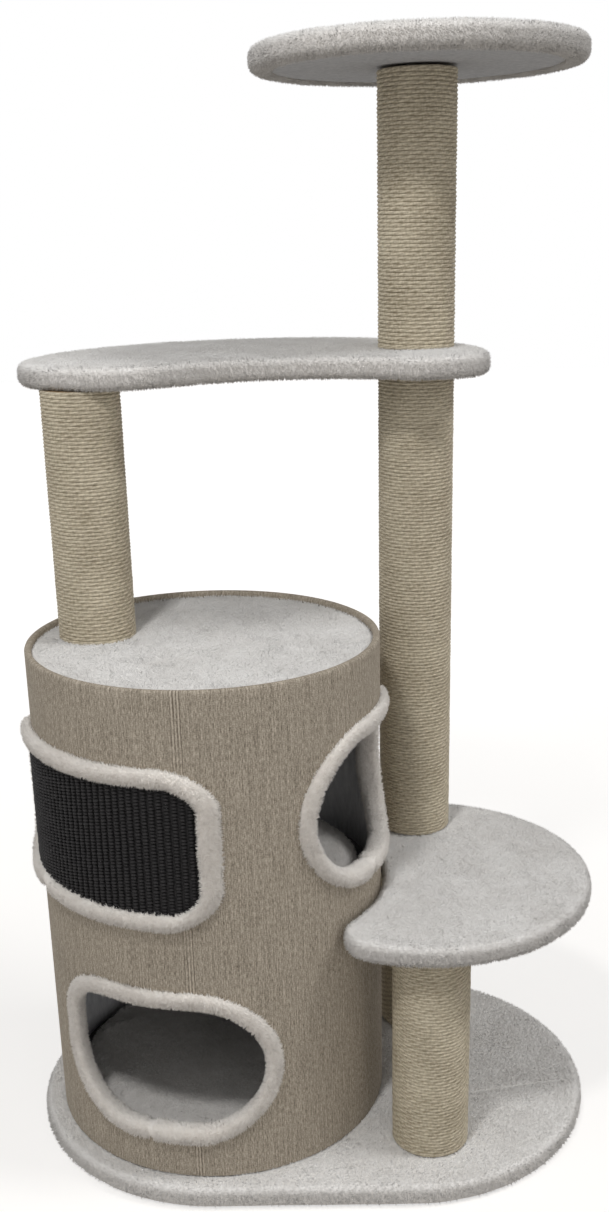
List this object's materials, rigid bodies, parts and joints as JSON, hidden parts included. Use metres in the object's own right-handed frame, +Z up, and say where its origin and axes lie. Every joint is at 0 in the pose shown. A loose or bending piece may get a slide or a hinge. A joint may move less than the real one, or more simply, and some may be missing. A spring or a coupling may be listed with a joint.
{
  "type": "cat tree",
  "caption": "Free-standing cat tree: plush base, cloth-covered barrel with two dens, rope-wound posts, a step, a kidney-shaped perch and a round top platform.",
  "frame": {"origin": "centre of the base's resting face, on the floor", "axes": "+X along the base from the barrel to the posts, +Y to the back, +Z up"},
  "size_m": [0.6719, 0.5629, 1.225],
  "materials": {
    "plush": "short-pile plush, off white",
    "backing_cloth": "non-woven backing cloth, grey",
    "chipboard": "raw chipboard",
    "fibreboard": "rolled fibreboard tube",
    "linen_cloth": "linen-look woven upholstery cloth, greige",
    "lining_cloth": "brushed lining cloth, dark grey",
    "sisal_rope": "thin twisted sisal rope, natural",
    "sisal_mat": "ribbed woven sisal mat, black",
    "steel": "zinc-plated steel"
  },
  "bodies": {
    "tree": {"barrel_bottom_disc": "chipboard", "barrel_fabric": "linen_cloth", "barrel_middle_disc": "chipboard", "barrel_post_bolt": "steel", "barrel_post_bottom_plug": "chipboard", "barrel_post_rope": "sisal_rope", "barrel_post_top_plug": "chipboard", "barrel_post_tube": "fibreboard", "barrel_post_washer": "steel", "barrel_top_cover": "plush", "barrel_top_disc": "chipboard", "barrel_wall": "fibreboard", "base_backing": "backing_cloth", "base_board": "chipboard", "base_bolts": "steel", "base_cover": "plush", "base_washers": "steel", "front_post_bottom_plug": "chipboard", "front_post_rope": "sisal_rope", "front_post_top_plug": "chipboard", "front_post_tube": "fibreboard", "joint_studs": "steel", "lower_den_lining": "lining_cloth", "lower_opening_trim": "plush", "perch_backing": "backing_cloth", "perch_board": "chipboard", "perch_cover": "plush", "platform_bolts": "steel", "platform_washers": "steel", "rear_lower_post_bottom_plug": "chipboard", "rear_lower_post_rope": "sisal_rope", "rear_lower_post_top_plug": "chipboard", "rear_lower_post_tube": "fibreboard", "rear_middle_post_bottom_plug": "chipboard", "rear_middle_post_rope": "sisal_rope", "rear_middle_post_top_plug": "chipboard", "rear_middle_post_tube": "fibreboard", "rear_upper_post_bottom_plug": "chipboard", "rear_upper_post_rope": "sisal_rope", "rear_upper_post_top_plug": "chipboard", "rear_upper_post_tube": "fibreboard", "scratch_panel": "sisal_mat", "scratch_panel_trim": "plush", "step_backing": "backing_cloth", "step_board": "chipboard", "step_cover": "plush", "threaded_inserts": "steel", "top_backing": "backing_cloth", "top_board": "chipboard", "top_cover": "plush", "upper_den_lining": "lining_cloth", "upper_opening_trim": "plush"},
    "lower_cushion": {"lower_den_cushion": "plush"},
    "upper_cushion": {"upper_den_cushion": "plush"}
  },
  "joints": [
    {"name": "lower_cushion_lift", "type": "slide", "parent": "tree", "child": "lower_cushion", "axis": [0, 0, 1], "range_m": [0, 0.05]},
    {"name": "upper_cushion_lift", "type": "slide", "parent": "tree", "child": "upper_cushion", "axis": [0, 0, 1], "range_m": [0, 0.05]}
  ]
}
